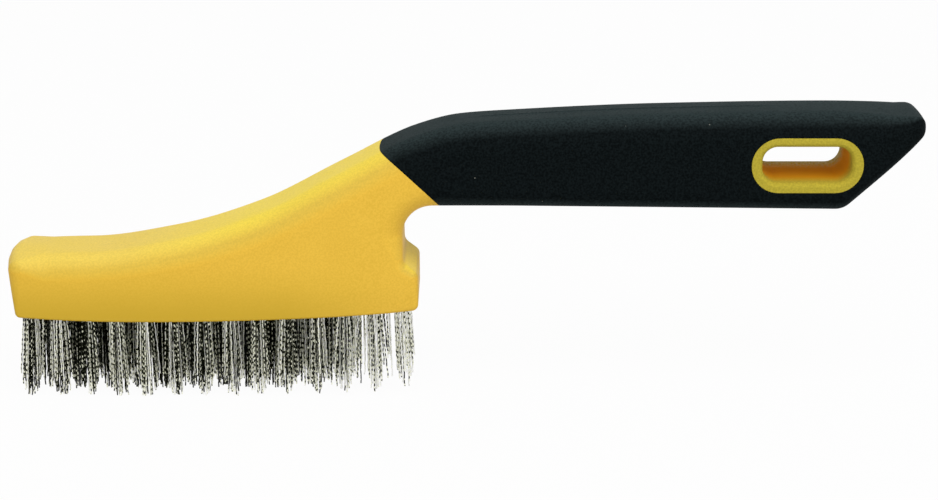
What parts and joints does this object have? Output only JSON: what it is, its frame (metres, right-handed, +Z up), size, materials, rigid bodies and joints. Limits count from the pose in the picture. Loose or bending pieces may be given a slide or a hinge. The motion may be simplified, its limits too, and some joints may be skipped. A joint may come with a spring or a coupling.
{
  "type": "scratch brush",
  "caption": "Hand scratch brush with a yellow moulded head and neck, a black soft grip, crimped steel wire tufts and a slotted hanging eyelet.",
  "frame": {"origin": "on the ground under the middle of the brush's length, halfway across it; the longest wires end at z = 0", "axes": "+X from the toe of the head to the tail of the handle, +Y across the brush, +Z up, away from the wire tips"},
  "size_m": [0.2609, 0.028, 0.0845],
  "materials": {
    "yellow_moulding": "satin moulded plastic",
    "black_soft_grip": "smooth, dull soft plastic",
    "crimped_steel_wire": "bare drawn wire"
  },
  "bodies": {
    "root": {"brush_body": "yellow_moulding", "soft_grip": "black_soft_grip", "tuft_r1_01": "crimped_steel_wire", "tuft_r1_02": "crimped_steel_wire", "tuft_r1_03": "crimped_steel_wire", "tuft_r1_04": "crimped_steel_wire", "tuft_r1_05": "crimped_steel_wire", "tuft_r1_06": "crimped_steel_wire", "tuft_r1_07": "crimped_steel_wire", "tuft_r1_08": "crimped_steel_wire", "tuft_r1_09": "crimped_steel_wire", "tuft_r1_10": "crimped_steel_wire", "tuft_r1_11": "crimped_steel_wire", "tuft_r1_12": "crimped_steel_wire", "tuft_r1_13": "crimped_steel_wire", "tuft_r1_14": "crimped_steel_wire", "tuft_r2_01": "crimped_steel_wire", "tuft_r2_02": "crimped_steel_wire", "tuft_r2_03": "crimped_steel_wire", "tuft_r2_04": "crimped_steel_wire", "tuft_r2_05": "crimped_steel_wire", "tuft_r2_06": "crimped_steel_wire", "tuft_r2_07": "crimped_steel_wire", "tuft_r2_08": "crimped_steel_wire", "tuft_r2_09": "crimped_steel_wire", "tuft_r2_10": "crimped_steel_wire", "tuft_r2_11": "crimped_steel_wire", "tuft_r2_12": "crimped_steel_wire", "tuft_r2_13": "crimped_steel_wire", "tuft_r3_01": "crimped_steel_wire", "tuft_r3_02": "crimped_steel_wire", "tuft_r3_03": "crimped_steel_wire", "tuft_r3_04": "crimped_steel_wire", "tuft_r3_05": "crimped_steel_wire", "tuft_r3_06": "crimped_steel_wire", "tuft_r3_07": "crimped_steel_wire", "tuft_r3_08": "crimped_steel_wire", "tuft_r3_09": "crimped_steel_wire", "tuft_r3_10": "crimped_steel_wire", "tuft_r3_11": "crimped_steel_wire", "tuft_r3_12": "crimped_steel_wire", "tuft_r3_13": "crimped_steel_wire", "tuft_r3_14": "crimped_steel_wire", "tuft_r4_01": "crimped_steel_wire", "tuft_r4_02": "crimped_steel_wire", "tuft_r4_03": "crimped_steel_wire", "tuft_r4_04": "crimped_steel_wire", "tuft_r4_05": "crimped_steel_wire", "tuft_r4_06": "crimped_steel_wire", "tuft_r4_07": "crimped_steel_wire", "tuft_r4_08": "crimped_steel_wire", "tuft_r4_09": "crimped_steel_wire", "tuft_r4_10": "crimped_steel_wire", "tuft_r4_11": "crimped_steel_wire", "tuft_r4_12": "crimped_steel_wire", "tuft_r4_13": "crimped_steel_wire"}
  },
  "joints": []
}
